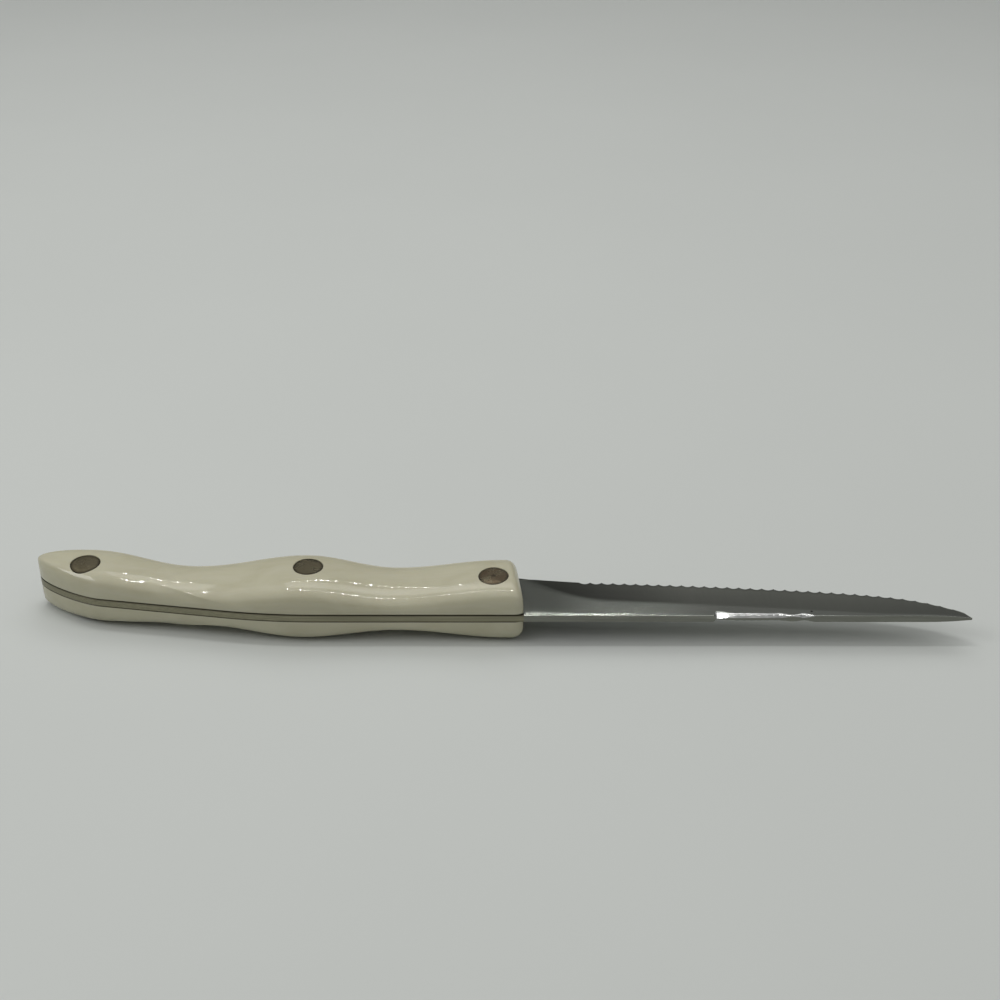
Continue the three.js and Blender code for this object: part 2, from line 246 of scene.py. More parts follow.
def worn_facet(along):
    """Width and hollowing of the facet rubbed into the spine's corner; no width elsewhere."""
    into = min(along - WORN_FROM, WORN_TO - along) / WORN_FADE
    ragged = 1 + WORN_RAGGED * sum(math.sin(wave * along) for wave in WORN_RAGGED_WAVES)
    width = min(1, max(0, into)) * through_stops(along, WORN_WIDTHS) * ragged
    return width, through_stops(along, [(WORN_STRAIGHT_TO, 0), (WORN_HOLLOW_FROM, 1)])


def rounded_corner(width, drop, half):
    """Corner of the steel between its side edge and its face, as (inset, half) steps."""
    steps = []
    for step in range(CORNER_STEPS + 1):
        turn = math.pi / 2 * step / CORNER_STEPS
        steps.append((width * (1 - math.cos(turn)), half - drop + drop * math.sin(turn)))
    return steps


def blade_face(along, scallop):
    """Left face of the blade's section from the spine to the edge, as (level, half)."""
    edge = edge_height(along)
    cut = edge - scallop
    border = grind_border(along)
    ground = min(1, max(0, (along - GRIND_START) / GRIND_FADE))
    tip_share = max(0, (along - BLADE_LENGTH + GRIND_END) / GRIND_END)
    spine_half = between(half_steel, TIP_THICKNESS / 2, tip_share * tip_share)
    edge_half = between(half_steel, GROUND_EDGE_THICKNESS / 2, ground)
    hollow = HOLLOW_DEPTH * ground * (1 - tip_share)

    def ground_half(level):
        share = min(1, max(0, (level - border) / (edge - border)))
        return between(spine_half, edge_half, share) - hollow * 4 * share * (1 - share)

    corner = min(through_stops(along, SPINE_CORNERS), border / 4, spine_half / 2)
    face = rounded_corner(corner, corner, spine_half)
    width, hollowing = worn_facet(along)
    if width > corner:
        face = []
        for step in range(CORNER_STEPS + 1):
            share = step / CORNER_STEPS
            left = between(1 - share, (1 - share) ** 2, hollowing)
            face.append((width * share, spine_half - WORN_SLOPE * width * left))
    flat_from = face[-1][0]
    crisp = min(BORDER_CRISPNESS, border / 8)
    for step in range(1, FLAT_STEPS):
        face.append((between(flat_from, border - crisp, step / FLAT_STEPS), spine_half))
    face.append((border - crisp, spine_half))
    bevel = between(HEEL_ROUND, SHARP_BEVEL, ground)
    bevel_from = cut - min(bevel, (cut - border) / 3)
    for step in range(HOLLOW_STEPS):
        level = between(border + crisp, bevel_from, step / HOLLOW_STEPS)
        face.append((level, ground_half(level)))
    bevel_half = ground_half(bevel_from)
    end_half = between(bevel_half - HEEL_ROUND, SHARP_THICKNESS / 2, ground)
    end_half = max(SHARP_THICKNESS / 2, end_half)
    for step in range(CORNER_STEPS + 1):
        share = step / CORNER_STEPS
        turn = math.pi / 2 * share
        out = between(math.sin(turn), share, ground)
        drop = between(1 - math.cos(turn), share, ground)
        face.append((between(bevel_from, cut, out), between(bevel_half, end_half, drop)))
    return face


def tang_face(back):
    middle, half_height = handle_outline(back)
    corner = rounded_corner(TANG_CORNER, TANG_CORNER, half_steel)
    face = [(middle - half_height + inset, half) for inset, half in corner]
    belly = middle + half_height - FRONT_CORNER_INSET * front_rounding(back)
    flat_from = middle - half_height + TANG_CORNER
    flat_steps = FLAT_STEPS + HOLLOW_STEPS
    for step in range(1, flat_steps + 1):
        share = step / (flat_steps + 1)
        face.append((between(flat_from, belly - TANG_CORNER, share), half_steel))
    face.extend((belly - inset, half) for inset, half in reversed(corner))
    return face


def two_faced(face, along_at):
    """Section of the steel: its left face and its right face, row against row."""
    left = [(along_at(level), level, half) for level, half in face]
    right = [(along_at(level), level, -half) for level, half in face]
    return left, right


def steel_sections():
    sections = []
    for back in reversed(handle_stations()):
        sections.append(two_faced(tang_face(back), lambda level: along_handle(back, level)))
    stations = []
    plain_steps = round((PLAIN_HEEL_LENGTH - GRIND_START) / PLAIN_STEP)
    for step in range(plain_steps):
        stations.append((between(GRIND_START, PLAIN_HEEL_LENGTH, step / plain_steps), 0))
    teeth = int((BLADE_LENGTH - PLAIN_HEEL_LENGTH - PLAIN_TIP_LENGTH) / TOOTH_PITCH)
    for tooth in range(teeth):
        for step in range(STEPS_PER_TOOTH):
            share = step / STEPS_PER_TOOTH
            place = PLAIN_HEEL_LENGTH + (tooth + share) * TOOTH_PITCH
            depth = through_stops(place, SCALLOP_DEPTHS)
            stations.append((place, depth * 4 * share * (1 - share)))
    last_tooth = PLAIN_HEEL_LENGTH + teeth * TOOTH_PITCH
    point_start = BLADE_LENGTH - POINT_LENGTH
    tip_steps = round((point_start - last_tooth) / PLAIN_STEP)
    for step in range(tip_steps):
        stations.append((between(last_tooth, point_start, step / tip_steps), 0))
    for step in range(POINT_STEPS + 1):
        turn = math.pi / 2 * step / POINT_STEPS
        stations.append((point_start + POINT_LENGTH * math.sin(turn), 0))
    for place, scallop in stations:
        sections.append(two_faced(blade_face(place, scallop), lambda level: place))
    return sections


def finished_object(name, form):
    """Object from a bmesh, with its faces turned outwards."""
    bmesh.ops.recalc_face_normals(form, faces=form.faces)
    mesh = bpy.data.meshes.new(name)
    form.to_mesh(mesh)
    form.free()
    piece = bpy.data.objects.new(name, mesh)
    bpy.context.scene.collection.objects.link(piece)
    return piece


MERGE_DISTANCE = 1e-7


def loft(name, sections):
    """Closed piece through sections, each an outer row and an inner row of points."""
    form = bmesh.new()
    rows = []
    for outer, inner in sections:
        rows.append((
            [form.verts.new(in_frame(*point)) for point in outer],
            [form.verts.new(in_frame(*point)) for point in inner],
        ))
    for (outer, inner), (next_outer, next_inner) in zip(rows, rows[1:]):
        for k in range(len(outer) - 1):
            form.faces.new((outer[k], outer[k + 1], next_outer[k + 1], next_outer[k]))
            form.faces.new((inner[k + 1], inner[k], next_inner[k], next_inner[k + 1]))
        form.faces.new((inner[0], outer[0], next_outer[0], next_inner[0]))
        form.faces.new((outer[-1], inner[-1], next_inner[-1], next_outer[-1]))
    for outer, inner in (rows[0], rows[-1]):
        for k in range(len(outer) - 1):
            form.faces.new((outer[k], inner[k], inner[k + 1], outer[k + 1]))
    bmesh.ops.remove_doubles(form, verts=form.verts, dist=MERGE_DISTANCE)
    return finished_object(name, form)


def turned(name, centre, profile):
    """Closed piece turned round an upright axis from (radius, height) rings, top to bottom."""
    form = bmesh.new()
    rings = []
    for radius, height in profile:
        ring = []
        for k in range(ROUND_SEGMENTS):
            turn = 2 * math.pi * k / ROUND_SEGMENTS
            along = centre[0] + radius * math.cos(turn)
            level = centre[1] + radius * math.sin(turn)
            ring.append(form.verts.new(in_frame(along, level, height)))
        rings.append(ring)
    for ring, below in zip(rings, rings[1:]):
        for k in range(ROUND_SEGMENTS):
            after = (k + 1) % ROUND_SEGMENTS
            form.faces.new((ring[k], ring[after], below[after], below[k]))
    form.faces.new(rings[0])
    form.faces.new(rings[-1])
    return finished_object(name, form)


def drill(piece, cutter):
    """Cuts the cutter out of the piece for good, and takes the cutter away."""
    cut = piece.modifiers.new("rivet_hole", "BOOLEAN")
    cut.operation = "DIFFERENCE"
    cut.solver = "EXACT"
    cut.object = cutter
    drilled = piece.evaluated_get(bpy.context.evaluated_depsgraph_get())
    mesh = bpy.data.meshes.new_from_object(drilled)
    piece.modifiers.clear()
    piece.data = mesh
    bpy.data.objects.remove(cutter)


def rivet_centre(name):
    """Where a rivet's axis stands on the handle, as (along, level)."""
    back = RIVET_BACKS[name]
    level = spine_line(back) + RIVET_INSETS[name]
    return along_handle(back, level), level


CREASE_ANGLE = math.radians(30)


def smooth(piece):
    for face in piece.data.polygons:
        face.use_smooth = True
    piece.data.set_sharp_from_angle(angle=CREASE_ANGLE)


def swatch(red, green, blue):
    """Colour of a paint swatch, 0 to 255, as a shader takes it."""
    shades = []
    for shade in (red / 255, green / 255, blue / 255):
        shades.append(shade / 12.92 if shade <= 0.04045 else ((shade + 0.055) / 1.055) ** 2.4)
    return (*shades, 1.0)


def start_finish(name):
    finish = bpy.data.materials.new(name)
    finish.use_nodes = True
    return finish, finish.node_tree, finish.node_tree.nodes["Principled BSDF"]


def grain(tree, cycles, detail, swirl=0.0):
    """Noise over the piece with so many cycles to the metre along each axis."""
    places = tree.nodes.new("ShaderNodeTexCoord")
    stretch = tree.nodes.new("ShaderNodeMapping")
    stretch.inputs["Scale"].default_value = cycles
    noise = tree.nodes.new("ShaderNodeTexNoise")
    noise.inputs["Scale"].default_value = 1.0
    noise.inputs["Detail"].default_value = detail
    noise.inputs["Distortion"].default_value = swirl
    tree.links.new(places.outputs["Object"], stretch.inputs["Vector"])
    tree.links.new(stretch.outputs["Vector"], noise.inputs["Vector"])
    return noise.outputs["Fac"]


def shaded(tree, value, stops):
    """Colour that follows a value through (place, colour) stops."""
    ramp = tree.nodes.new("ShaderNodeValToRGB")
    while len(ramp.color_ramp.elements) < len(stops):
        ramp.color_ramp.elements.new(0.5)
    for element, (place, colour) in zip(ramp.color_ramp.elements, stops):
        element.position = place
        element.color = colour
    tree.links.new(value, ramp.inputs["Fac"])
    return ramp.outputs["Color"]


NOISE_LOW = 0.3
NOISE_HIGH = 0.7


def ranged(tree, value, low, high, from_low=NOISE_LOW, from_high=NOISE_HIGH):
    """Value stretched from the range that noise mostly keeps to the range asked for."""
    stretch = tree.nodes.new("ShaderNodeMapRange")
    stretch.inputs["From Min"].default_value = from_low
    stretch.inputs["From Max"].default_value = from_high
    stretch.inputs["To Min"].default_value = low
    stretch.inputs["To Max"].default_value = high
    tree.links.new(value, stretch.inputs["Value"])
    return stretch.outputs["Result"]


def blended(tree, share, first, second, how="MIX"):
    """Second colour laid over the first by a share that varies over the piece."""
    mix = tree.nodes.new("ShaderNodeMix")
    mix.data_type = "RGBA"
    mix.blend_type = how
    tree.links.new(share, mix.inputs["Factor"])
    for socket, colour in ((mix.inputs["A"], first), (mix.inputs["B"], second)):
        if isinstance(colour, tuple):
            socket.default_value = colour
        else:
            tree.links.new(colour, socket)
    return mix.outputs["Result"]


def raised(tree, shader, value, depth):
    """Surface relief of a given depth in millimetres."""
    bump = tree.nodes.new("ShaderNodeBump")
    bump.inputs["Strength"].default_value = 1.0
    bump.inputs["Distance"].default_value = depth * MILLIMETRE
    tree.links.new(value, bump.inputs["Height"])
    tree.links.new(bump.outputs["Normal"], shader.inputs["Normal"])


def distance_from(tree, centre, kept):
    """Distance over the piece from a place in the frame, along the axes that are kept."""
    places = tree.nodes.new("ShaderNodeTexCoord")
    away = tree.nodes.new("ShaderNodeVectorMath")
    away.operation = "SUBTRACT"
    away.inputs[1].default_value = centre
    tree.links.new(places.outputs["Object"], away.inputs[0])
    flat = tree.nodes.new("ShaderNodeVectorMath")
    flat.operation = "MULTIPLY"
    flat.inputs[1].default_value = kept
    tree.links.new(away.outputs["Vector"], flat.inputs[0])
    length = tree.nodes.new("ShaderNodeVectorMath")
    length.operation = "LENGTH"
    tree.links.new(flat.outputs["Vector"], length.inputs[0])
    return length.outputs["Value"]


def dirt_and_shade_laid(tree, tone, dark_tone, distance, clean_at, full_at):
    """Darker tone over a tone, for dirt and for painted shade, full at one distance in millimetres
    and gone at the other.
    """
    share = ranged(tree, distance, 0.0, 1.0, clean_at * MILLIMETRE, full_at * MILLIMETRE)
    return blended(tree, share, tone, dark_tone)


HANDLING_CLOUDS = (35, 90, 90)
HANDLING_STAIN = 0.35


def steel_finish(name, dark, light, lines, gloss, relief, marks=()):
    """Worked steel: fine lines one way, soft handling marks over them, and given marks of dirt and
    painted shade.
    """
    finish, tree, shader = start_finish(name)
    fine = grain(tree, lines, 3)
    cloud = grain(tree, HANDLING_CLOUDS, 3)
    tone = shaded(tree, fine, [(0.25, dark), (0.75, light)])
    stain = ranged(tree, cloud, 0.0, HANDLING_STAIN, from_low=0.35, from_high=0.8)
    tone = blended(tree, stain, tone, dark)
    for dark_tone, centre, kept, clean_at, full_at in marks:
        tone = dirt_and_shade_laid(tree, tone, dark_tone, distance_from(tree, centre, kept), clean_at, full_at)
    tree.links.new(tone, shader.inputs["Base Color"])
    tree.links.new(ranged(tree, cloud, gloss[0], gloss[1]), shader.inputs["Roughness"])
    shader.inputs["Metallic"].default_value = 1.0
    raised(tree, shader, fine, relief)
    return finish


knife_steel = loft("blade_and_tang_steel", steel_sections())
for rivet in RIVET_BACKS:
    hole = turned(rivet + "_hole", rivet_centre(rivet), [
        (RIVET_HOLE_DIAMETER / 2, STEEL_THICKNESS),
        (RIVET_HOLE_DIAMETER / 2, -STEEL_THICKNESS),
    ])
    drill(knife_steel, hole)
smooth(knife_steel)

LINES_LENGTHWISE = (60, 4500, 4500)
LINES_ACROSS = (4500, 70, 70)
STREAKS_LENGTHWISE = (120, 2600, 2600)
# Dark grime and painted shade for the seams beside the tang.
SEAM_GRIME_AND_SHADE = swatch(54, 50, 40)
NICK_DARK = swatch(48, 48, 46)
NICK = in_frame(76.2, 2.1, half_steel)
NICK_RADIUS = 0.4
HEEL = in_frame(0, 0, 0)
ALONG_ONLY = (1, 0, 0)
HEIGHT_ONLY = (0, 0, 1)
EVERY_WAY = (1, 1, 1)
# The blade's flat and hollow darken towards the handle, fading out 40 to 45 mm from it: painted
# shade of the handle.
FLAT_HEEL_SHADE = (swatch(114, 117, 110), HEEL, ALONG_ONLY, 40, 8)
HOLLOW_HEEL_SHADE = (swatch(102, 105, 97), HEEL, ALONG_ONLY, 45, 10)
NICK_MARK = (NICK_DARK, NICK, EVERY_WAY, NICK_RADIUS, NICK_RADIUS / 2)
# The tang's edge darkens towards the scales on both sides: grime and painted shade in the seams.
TANG_SEAM_GRIME_AND_SHADE = (SEAM_GRIME_AND_SHADE, HEEL, HEIGHT_ONLY, 0.65, 1.15)
satin_flat = steel_finish(
    "satin_flat_steel", swatch(162, 165, 157), swatch(173, 176, 168),
    LINES_LENGTHWISE, gloss=(0.13, 0.18), relief=0.0006, marks=[FLAT_HEEL_SHADE, NICK_MARK],
)
hollow_ground = steel_finish(
    "hollow_ground_steel", swatch(168, 171, 161), swatch(176, 179, 169),
    LINES_ACROSS, gloss=(0.13, 0.19), relief=0.0003, marks=[HOLLOW_HEEL_SHADE],
)
dulled_spine = steel_finish(
    "dulled_spine_steel", swatch(116, 117, 110), swatch(142, 143, 135),
    LINES_LENGTHWISE, gloss=(0.3, 0.45), relief=0.003,
)
# The rubbed facet on the spine's corner gets a far brighter tone than the other steel: a painted
# glint over dark rubbed streaks.
worn_steel_painted_glint = steel_finish(
    "rubbed_steel_painted_glint", swatch(70, 71, 70), swatch(236, 237, 234),
    STREAKS_LENGTHWISE, gloss=(0.16, 0.3), relief=0.004,
)
# Tang edge steel, darkening towards the scales with grime and painted shade.
tang_edge = steel_finish(
    "tang_steel_seam_grime_and_shade", swatch(124, 121, 102), swatch(156, 152, 130),
    LINES_LENGTHWISE, gloss=(0.3, 0.45), relief=0.003, marks=[TANG_SEAM_GRIME_AND_SHADE],
)
steel_finishes = [satin_flat, hollow_ground, dulled_spine, worn_steel_painted_glint, tang_edge]
for finish in steel_finishes:
    knife_steel.data.materials.append(finish)
SIDEWAYS = 0.75
for face in knife_steel.data.polygons:
    along = (face.center.x - HANDLE_FRONT_X) / MILLIMETRE
    level = (face.center.y - SPINE_Y) / MILLIMETRE
    height = (face.center.z - STEEL_MIDDLE_Z) / MILLIMETRE
    width = worn_facet(along)[0]
    if along < along_handle(0, level):
        face.material_index = steel_finishes.index(tang_edge)
    elif face.normal.y < -SIDEWAYS:
        face.material_index = steel_finishes.index(dulled_spine)
    # Faces of the rubbed facet on the left side take the steel with the painted glint.
    elif level < width and height > 0:
        face.material_index = steel_finishes.index(worn_steel_painted_glint)
    elif along > GRIND_START and level > grind_border(along):
        face.material_index = steel_finishes.index(hollow_ground)

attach(knife_steel, "root")
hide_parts("blade_with_tang")


# Handle scales
# Two moulded halves of polished ivory resin, mirror images of each other, laid against the
# tang and counterbored for the rivet heads.  The edge along the tang is slightly eased, and
# the resin there darkens with grime and painted shade, so a fine dark groove shows on
# either side of the steel.
SWELL_THICKNESS = 7.3
REST_FLAT_CUT = 0.1
THUMB_WAIST_THICKNESS = 5.0
FINGER_WAIST_THICKNESS = 5.0
BUTT_THICKNESS = 6.9
BUTT_END_THICKNESS = 5.1
FINGER_WAIST_SKEW = 7.5
SWELL_SECTION_POWER = 3.8
WAIST_SECTION_POWER = 2.9
BUTT_SIDE_POWER = 2.5
FRONT_ROUND_DROP = 3.1

RIDGE_HEIGHT = 0.5
RIDGE_HALF_LENGTH = 15.0
RIDGE_FRONT_ANGLE = math.radians(10)
RIDGE_REAR_ANGLE = math.radians(50)
SHOULDER_ANGLE = math.radians(40)
RIDGE_SPINE_REACH = 0.5
RIDGE_BELLY_REACH = 0.22

# How far each scale's edge is eased beside the tang; this also sets how wide the painted groove
# shade is.
GROOVE_EASES = {"left_scale": 0.5, "right_scale": 0.2}
GROOVE_GRIME_AND_SHADE_SHARE = 0.4
GROOVE_STEPS = 5
RIDGE_ROW = 26
SECTION_STEPS = 76

HEAD_DIAMETER = 7.9
HEAD_DEPTH = 3.0
HEAD_GAP = 0.1
PAST_SURFACE = 1.0


def side_thickness(back, skew):
    crest = SWELL_THICKNESS + REST_FLAT_CUT
    full = through_stops(back, [
        (HANDLE_LAND, crest),
        (HANDLE_THUMB_WAIST, THUMB_WAIST_THICKNESS),
        (HANDLE_PALM, crest),
        (HANDLE_FINGER_WAIST - skew, FINGER_WAIST_THICKNESS),
        (HANDLE_BUTT_SWELL, BUTT_THICKNESS),
    ])
    left = round_off(butt_share(back, 0), BUTT_SIDE_POWER)
    ended = between(BUTT_END_THICKNESS, full, left)
    return ended - FRONT_ROUND_DROP * front_rounding(back)


def section_power(back):
    """Power of the section's curve: squarer at the swells, rounder at the waists."""
    return through_stops(back, [
        (HANDLE_LAND, SWELL_SECTION_POWER),
        (HANDLE_THUMB_WAIST, WAIST_SECTION_POWER),
        (HANDLE_PALM, SWELL_SECTION_POWER),
        (HANDLE_FINGER_WAIST, WAIST_SECTION_POWER),
        (HANDLE_BUTT_SWELL, SWELL_SECTION_POWER),
    ])


def ridge_angle(back):
    return through_stops(back, [
        (HANDLE_PALM, SHOULDER_ANGLE),
        (HANDLE_FINGER_WAIST - RIDGE_HALF_LENGTH, RIDGE_FRONT_ANGLE),
        (HANDLE_FINGER_WAIST + RIDGE_HALF_LENGTH, RIDGE_REAR_ANGLE),
        (HANDLE_BUTT_SWELL, SHOULDER_ANGLE),
    ])


def ridge_lift(back, angle):
    """Height of the ridge that runs from the butt forward and down to the spine."""
    crest = through_stops(back, [
        (HANDLE_FINGER_WAIST - RIDGE_HALF_LENGTH, 0),
        (HANDLE_FINGER_WAIST, RIDGE_HEIGHT),
        (HANDLE_FINGER_WAIST + RIDGE_HALF_LENGTH, 0),
    ])
    top = ridge_angle(back)
    reach = top * RIDGE_SPINE_REACH
    if angle > top:
        reach = (math.pi - top) * RIDGE_BELLY_REACH
    away = min(1, abs(angle - top) / reach)
    return crest * (1 - away) ** 2


def scale_height(back, across):
    """Height of the left scale's surface, across its section from -1 spine to 1 belly."""
    spine_side = side_thickness(back, FINGER_WAIST_SKEW)
    belly_side = side_thickness(back, 0)
    thickness = between(spine_side, belly_side, (1 + across) / 2)
    round_height = thickness * round_off(abs(across), section_power(back))
    lift = ridge_lift(back, math.acos(-across))
    return half_steel + min(SWELL_THICKNESS, round_height + lift)


def scale_outline(back):
    middle, half = handle_outline(back)
    return middle, half - FRONT_CORNER_INSET * front_rounding(back)


def eased_edge(back, end, ease):
    """Points of the scale's eased edge beside the tang, end -1 at the spine and 1 at the belly."""
    middle, half = scale_outline(back)
    thickness = side_thickness(back, FINGER_WAIST_SKEW if end < 0 else 0)
    points = []
    for step in range(GROOVE_STEPS):
        turn = math.pi / 2 * step / GROOVE_STEPS
        rise = ease * (1 - math.cos(turn))
        inset = ease * (1 - math.sin(turn))
        across = end * round_off(rise / thickness, section_power(back))
        points.append((middle + half * across - end * inset, half_steel + rise))
    return points


def scale_section(back, side, ease):
    """Outside of a scale's section from spine to belly, and its face against the tang."""
    middle, half = scale_outline(back)
    thickness = side_thickness(back, FINGER_WAIST_SKEW)
    first = math.acos(round_off(ease / thickness, section_power(back)))
    ridge = ridge_angle(back)
    outside = eased_edge(back, -1, ease)
    for step in range(SECTION_STEPS + 1):
        angle = between(first, ridge, step / RIDGE_ROW)
        if step > RIDGE_ROW:
            share = (step - RIDGE_ROW) / (SECTION_STEPS - RIDGE_ROW)
            angle = between(ridge, math.pi - first, share)
        across = -math.cos(angle)
        outside.append((middle + half * across, scale_height(back, across)))
    outside.extend(reversed(eased_edge(back, 1, ease)))
    start = outside[0][0]
    end = outside[-1][0]
    inside = []
    for step in range(len(outside)):
        inside.append((between(start, end, step / (len(outside) - 1)), half_steel))
    outer = [(along_handle(back, level), level, side * height) for level, height in outside]
    inner = [(along_handle(back, level), level, side * height) for level, height in inside]
    return outer, inner


def rivet_seat(rivet):
    """Height at which a rivet's head sits in its counterbore."""
    level = rivet_centre(rivet)[1]
    middle, half = scale_outline(RIVET_BACKS[rivet])
    return scale_height(RIVET_BACKS[rivet], (level - middle) / half) - HEAD_DEPTH


IVORY_LIGHT = swatch(187, 184, 160)
IVORY_SHADE = swatch(178, 174, 149)
IVORY_STREAK = swatch(190, 185, 166)
RESIN_CLOUDS = (70, 110, 110)
RESIN_FLOW = (35, 420, 420)
RESIN_RUBBING = (160, 700, 700)
STREAK_STRENGTH = 0.35
GLOW_WEIGHT = 0.15
GLOW_DEPTH = 1.5
GLOW_COLOUR = (1.0, 0.8, 0.5)
RUBBING_RELIEF = 0.0005


def ivory_resin(name, ease):
    """Polished ivory resin: cloudy tone, faint lengthwise flow, grime and painted shade in the
    groove.
    """
    finish, tree, shader = start_finish(name)
    cloud = grain(tree, RESIN_CLOUDS, 3, swirl=0.8)
    flow = grain(tree, RESIN_FLOW, 4, swirl=1.2)
    tone = shaded(tree, cloud, [(NOISE_LOW, IVORY_SHADE), (NOISE_HIGH, IVORY_LIGHT)])
    streak = ranged(tree, flow, 0.0, STREAK_STRENGTH, from_low=0.45, from_high=0.75)
    tone = blended(tree, streak, tone, IVORY_STREAK)
    # The resin darkens towards the tang: dark grime and painted shade in the groove.
    out = distance_from(tree, HEEL, HEIGHT_ONLY)
    clean_at = half_steel + ease
    full_at = half_steel + ease * GROOVE_GRIME_AND_SHADE_SHARE
    tone = dirt_and_shade_laid(tree, tone, SEAM_GRIME_AND_SHADE, out, clean_at, full_at)
    tree.links.new(tone, shader.inputs["Base Color"])
    rub = grain(tree, RESIN_RUBBING, 5, swirl=0.3)
    tree.links.new(ranged(tree, rub, 0.03, 0.06), shader.inputs["Roughness"])
    shader.inputs["Subsurface Weight"].default_value = GLOW_WEIGHT
    shader.inputs["Subsurface Scale"].default_value = GLOW_DEPTH * MILLIMETRE
    shader.inputs["Subsurface Radius"].default_value = GLOW_COLOUR
    raised(tree, shader, rub, RUBBING_RELIEF)
    return finish


for node, side in (("left_scale", 1), ("right_scale", -1)):
    ease = GROOVE_EASES[node]
    sections = [scale_section(back, side, ease) for back in handle_stations()]
    scale = loft("ivory_" + node, sections)
    for rivet in RIVET_BACKS:
        seat = rivet_seat(rivet)
        bore = HEAD_DIAMETER / 2 + HEAD_GAP
        drill(scale, turned(rivet + "_counterbore", rivet_centre(rivet), [
            (bore, side * (seat + HEAD_DEPTH + PAST_SURFACE)),
            (bore, side * seat),
            (RIVET_HOLE_DIAMETER / 2, side * seat),
            (RIVET_HOLE_DIAMETER / 2, 0),
        ]))
    smooth(scale)
    scale.data.materials.append(ivory_resin(node + "_ivory_resin", ease))
    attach(scale, "root")
    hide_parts(node)


# Rivets
# Three two-piece cutler's rivets of nickel silver, dulled with age.  Each half has a round
# head ground flush with its scale; the pin of the right half is driven into the tube of
# the left half, through the tang.
SOCKET_DIAMETER = 5.0
SOCKET_BORE_DIAMETER = 3.6
PIN_DIAMETER = 3.0
SHANK_END_GAP = 1.0
HEAD_CHAMFER = 0.12
HEAD_RINGS = 10


def scale_surface(along, level):
    """Height of the left scale over a point of its outline."""
    lean = FRONT_LEAN * level
    back = (-along - lean) / (1 - lean / HANDLE_THUMB_WAIST)
    if back > HANDLE_THUMB_WAIST:
        back = -along
    middle, half = scale_outline(back)
    return scale_height(back, max(-1, min(1, (level - middle) / half)))


def rivet_half(name, rivet, side, shank):
    """Half a rivet: a head that follows the scale's surface, then its shank's rings."""
    centre_along, centre_level = rivet_centre(rivet)
    form = bmesh.new()
    radius = HEAD_DIAMETER / 2
    rings = []
    for step in range(1, HEAD_RINGS + 1):
        rings.append(((radius - HEAD_CHAMFER) * step / HEAD_RINGS, 0, None))
    rings.append((radius, HEAD_CHAMFER, None))
    rings.extend((ring_radius, 0, height) for ring_radius, height in shank)
    top = scale_surface(centre_along, centre_level)
    first = form.verts.new(in_frame(centre_along, centre_level, side * top))
    rows = []
    for ring_radius, drop, fixed in rings:
        row = []
        for k in range(ROUND_SEGMENTS):
            turn = 2 * math.pi * k / ROUND_SEGMENTS
            along = centre_along + ring_radius * math.cos(turn)
            level = centre_level + ring_radius * math.sin(turn)
            height = fixed
            if fixed is None:
                height = scale_surface(along, level) - drop
            row.append(form.verts.new(in_frame(along, level, side * height)))
        rows.append(row)
    last = form.verts.new(in_frame(centre_along, centre_level, side * shank[-1][1]))
    for k in range(ROUND_SEGMENTS):
        after = (k + 1) % ROUND_SEGMENTS
        form.faces.new((first, rows[0][k], rows[0][after]))
        form.faces.new((last, rows[-1][after], rows[-1][k]))
        for row, below in zip(rows, rows[1:]):
            form.faces.new((row[k], below[k], below[after], row[after]))
    return finished_object(name, form)


RIM_GRIME_WIDTH = 0.9
RIM_GRIME = swatch(58, 53, 41)
NICKEL_SILVER = swatch(132, 124, 100)
AGED_SILVER = swatch(106, 100, 80)
TARNISH_GREY = swatch(99, 92, 72)
TARNISH_BROWN = swatch(86, 74, 56)
TARNISH_PATCHES = (250, 250, 250)
TARNISH_SPREAD = 0.25
FINE_SCRATCHES = (3500, 260, 260)
SCRATCH_RELIEF = 0.001
SPOT_CORE_SHARE = 0.4
RIVET_METALLIC = 0.9


def aged_rivet(rivet, metal, tarnish, tarnish_from, spot):
    """Dulled nickel silver: tarnish in patches, a dark rim, a spot at the middle."""
    finish, tree, shader = start_finish(rivet + "_rivet_metal")
    patch = grain(tree, TARNISH_PATCHES, 3, swirl=0.6)
    scratch = grain(tree, FINE_SCRATCHES, 3)
    dulled = ranged(tree, patch, 0.0, 1.0, tarnish_from, tarnish_from + TARNISH_SPREAD)
    tone = blended(tree, dulled, metal, tarnish)
    out = distance_from(tree, in_frame(*rivet_centre(rivet), 0), (1, 1, 0))
    rim = HEAD_DIAMETER / 2
    tone = dirt_and_shade_laid(tree, tone, RIM_GRIME, out, rim - RIM_GRIME_WIDTH, rim)
    if spot > 0:
        tone = dirt_and_shade_laid(tree, tone, RIM_GRIME, out, spot, spot * SPOT_CORE_SHARE)
    tree.links.new(tone, shader.inputs["Base Color"])
    tree.links.new(ranged(tree, patch, 0.24, 0.32), shader.inputs["Roughness"])
    shader.inputs["Metallic"].default_value = RIVET_METALLIC
    raised(tree, shader, scratch, SCRATCH_RELIEF)
    return finish


